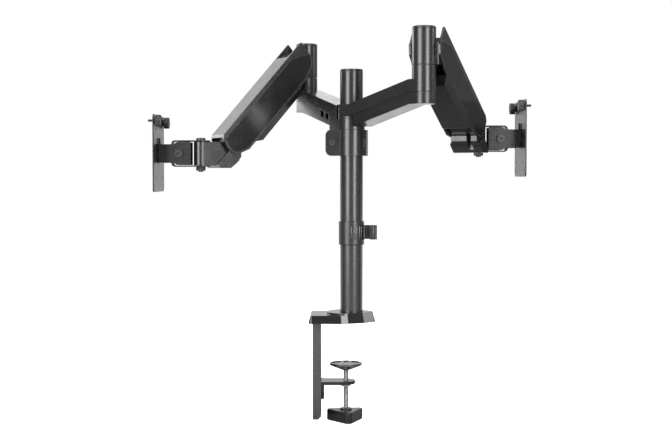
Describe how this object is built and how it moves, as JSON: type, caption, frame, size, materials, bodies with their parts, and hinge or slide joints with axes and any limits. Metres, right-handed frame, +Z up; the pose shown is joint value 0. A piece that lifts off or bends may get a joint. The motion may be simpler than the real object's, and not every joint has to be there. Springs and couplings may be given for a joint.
{
  "type": "monitor arm",
  "caption": "Desk-clamped pole with a sliding collar and two gas-spring arms that swivel, lift, pan, tilt and roll, each ending in a VESA plate.",
  "frame": {"origin": "on the pole's axis, at the underside of the desk pad, which is the desk's top surface", "axes": "+Z up along the pole, +X to the right of the picture, +Y away from the camera"},
  "size_m": [0.5907, 0.2981, 0.594],
  "materials": {
    "steel_black": "satin black powder coat on steel",
    "cast_black": "satin black powder coat on cast aluminium",
    "plastic_black": "fine matte black plastic",
    "gloss_black": "glossy black plastic",
    "rubber_black": "soft black rubber",
    "zinc": "zinc-plated steel",
    "bolt_black": "black oxide steel"
  },
  "bodies": {
    "base": {"base_plate": "steel_black", "base_cover": "gloss_black", "desk_pad": "rubber_black", "pole": "cast_black", "pole_cap": "plastic_black", "pole_bolt": "zinc", "clamp_back_plate": "steel_black", "clamp_bracket": "steel_black", "clamp_bolts": "bolt_black", "clamp_nut": "zinc"},
    "clamp_pad": {"clamp_pad": "steel_black"},
    "clamp_screw": {"clamp_screw": "zinc", "clamp_knob": "plastic_black"},
    "collar": {"collar_front": "cast_black", "collar_rear": "cast_black", "collar_bolt": "bolt_black", "collar_pin": "bolt_black"},
    "cable_clip": {"cable_clip": "plastic_black"},
    "right_extension": {"right_extension_arm": "cast_black", "right_extension_cover": "plastic_black", "right_elbow_washer": "plastic_black"},
    "right_elbow": {"right_elbow_knuckle": "cast_black", "right_elbow_cap": "plastic_black", "right_arm_pins": "bolt_black"},
    "right_spring_arm": {"right_arm_casing": "cast_black", "right_arm_side_panels": "gloss_black", "right_arm_lower_cover": "plastic_black", "right_gas_spring_cylinder": "steel_black"},
    "right_spring_rod": {"right_gas_spring_rod": "zinc"},
    "right_link": {"right_link_rod": "steel_black"},
    "right_head": {"right_head_knuckle": "cast_black", "right_head_pins": "bolt_black", "right_pan_bolt": "bolt_black"},
    "right_pan": {"right_pan_bracket": "steel_black", "right_tilt_bolt": "bolt_black"},
    "right_tilt": {"right_tilt_bracket": "steel_black"},
    "right_plate": {"right_vesa_plate": "steel_black", "right_roll_bolt": "bolt_black", "right_thumb_screws": "bolt_black"},
    "left_extension": {"left_extension_arm": "cast_black", "left_extension_cover": "plastic_black", "left_elbow_washer": "plastic_black"},
    "left_elbow": {"left_elbow_knuckle": "cast_black", "left_elbow_cap": "plastic_black", "left_arm_pins": "bolt_black"},
    "left_spring_arm": {"left_arm_casing": "cast_black", "left_arm_side_panels": "gloss_black", "left_arm_lower_cover": "plastic_black", "left_gas_spring_cylinder": "steel_black"},
    "left_spring_rod": {"left_gas_spring_rod": "zinc"},
    "left_link": {"left_link_rod": "steel_black"},
    "left_head": {"left_head_knuckle": "cast_black", "left_head_pins": "bolt_black", "left_pan_bolt": "bolt_black"},
    "left_pan": {"left_pan_bracket": "steel_black", "left_tilt_bolt": "bolt_black"},
    "left_tilt": {"left_tilt_bracket": "steel_black"},
    "left_plate": {"left_vesa_plate": "steel_black", "left_roll_bolt": "bolt_black", "left_thumb_screws": "bolt_black"}
  },
  "joints": [
    {"name": "clamp_pad_rise", "type": "slide", "parent": "base", "child": "clamp_pad", "axis": [0, 0, 1], "range_m": [-0.011, 0.03]},
    {"name": "clamp_screw_turn", "type": "hinge", "parent": "clamp_pad", "child": "clamp_screw", "pos_m": [-0.0085, 0, -0.1], "axis": [0, 0, 1], "range_deg": [-3160, 8630]},
    {"name": "collar_height", "type": "slide", "parent": "base", "child": "collar", "axis": [0, 0, 1], "range_m": [-0.08, 0.045]},
    {"name": "cable_clip_height", "type": "slide", "parent": "base", "child": "cable_clip", "axis": [0, 0, 1], "range_m": [-0.06, 0.01]},
    {"name": "right_hub_yaw", "type": "hinge", "parent": "collar", "child": "right_extension", "pos_m": [0, 0, 0.312], "axis": [0, 0, 1], "range_deg": [-65, 38]},
    {"name": "right_elbow_yaw", "type": "hinge", "parent": "right_extension", "child": "right_elbow", "pos_m": [0.10306, -0.11897, 0.41], "axis": [0, 0, 1], "range_deg": [-200, 2]},
    {"name": "right_arm_lift", "type": "hinge", "parent": "right_elbow", "child": "right_spring_arm", "pos_m": [0.11301, -0.10048, 0.408], "axis": [0.8805, -0.4741, 0], "range_deg": [-1, 63]},
    {"name": "right_link_swing", "type": "hinge", "parent": "right_elbow", "child": "right_link", "pos_m": [0.11301, -0.10048, 0.394], "axis": [0.8805, -0.4741, 0], "range_deg": [-1, 63]},
    {"name": "right_spring_stroke", "type": "slide", "parent": "right_spring_arm", "child": "right_spring_rod", "axis": [0.3776, 0.7013, -0.6046], "range_m": [-0.01288, 0.0006]},
    {"name": "right_head_level", "type": "hinge", "parent": "right_spring_arm", "child": "right_head", "pos_m": [0.17683, 0.01804, 0.30582], "axis": [0.8805, -0.4741, 0], "range_deg": [-63, 1]},
    {"name": "right_head_pan", "type": "hinge", "parent": "right_head", "child": "right_pan", "pos_m": [0.202, 0.0648, 0.28292], "axis": [0, 0, 1], "range_deg": [-9, 132]},
    {"name": "right_head_tilt", "type": "hinge", "parent": "right_pan", "child": "right_tilt", "pos_m": [0.23481, 0.0648, 0.28292], "axis": [0, -1, 0], "range_deg": [-35, 50]},
    {"name": "right_plate_roll", "type": "hinge", "parent": "right_tilt", "child": "right_plate", "pos_m": [0.266, 0.0648, 0.28292], "axis": [1, 0, 0], "range_deg": [-90, 90]},
    {"name": "left_hub_yaw", "type": "hinge", "parent": "collar", "child": "left_extension", "pos_m": [0, 0, 0.312], "axis": [0, 0, 1], "range_deg": [-38, 65]},
    {"name": "left_elbow_yaw", "type": "hinge", "parent": "left_extension", "child": "left_elbow", "pos_m": [-0.07195, 0.13999, 0.41], "axis": [0, 0, 1], "range_deg": [-184, 5]},
    {"name": "left_arm_lift", "type": "hinge", "parent": "left_elbow", "child": "left_spring_arm", "pos_m": [-0.09047, 0.1301, 0.408], "axis": [-0.471, 0.8821, 0], "range_deg": [-1, 73]},
    {"name": "left_link_swing", "type": "hinge", "parent": "left_elbow", "child": "left_link", "pos_m": [-0.09047, 0.1301, 0.394], "axis": [-0.471, 0.8821, 0], "range_deg": [-1, 73]},
    {"name": "left_spring_stroke", "type": "slide", "parent": "left_spring_arm", "child": "left_spring_rod", "axis": [-0.5891, -0.3146, -0.7443], "range_m": [-0.01438, 0.00059]},
    {"name": "left_head_level", "type": "hinge", "parent": "left_spring_arm", "child": "left_head", "pos_m": [-0.19003, 0.07694, 0.28221], "axis": [-0.471, 0.8821, 0], "range_deg": [-73, 1]},
    {"name": "left_head_pan", "type": "hinge", "parent": "left_head", "child": "left_pan", "pos_m": [-0.23687, 0.05193, 0.25931], "axis": [0, 0, 1], "range_deg": [-43, 98]},
    {"name": "left_head_tilt", "type": "hinge", "parent": "left_pan", "child": "left_tilt", "pos_m": [-0.26967, 0.05193, 0.25931], "axis": [0, 1, 0], "range_deg": [-35, 50]},
    {"name": "left_plate_roll", "type": "hinge", "parent": "left_tilt", "child": "left_plate", "pos_m": [-0.30087, 0.05193, 0.25931], "axis": [-1, 0, 0], "range_deg": [-90, 90]}
  ],
  "couplings": [
    {"joint": "clamp_pad_rise", "follows": "clamp_screw_turn", "m_per_rad": 0.00019894},
    {"joint": "right_link_swing", "follows": "right_arm_lift", "ratio": 1},
    {"joint": "right_head_level", "follows": "right_arm_lift", "ratio": -1},
    {"joint": "right_spring_stroke", "follows": "right_arm_lift", "m_per_rad": -0.011348},
    {"joint": "left_link_swing", "follows": "left_arm_lift", "ratio": 1},
    {"joint": "left_head_level", "follows": "left_arm_lift", "ratio": -1},
    {"joint": "left_spring_stroke", "follows": "left_arm_lift", "m_per_rad": -0.010976}
  ]
}
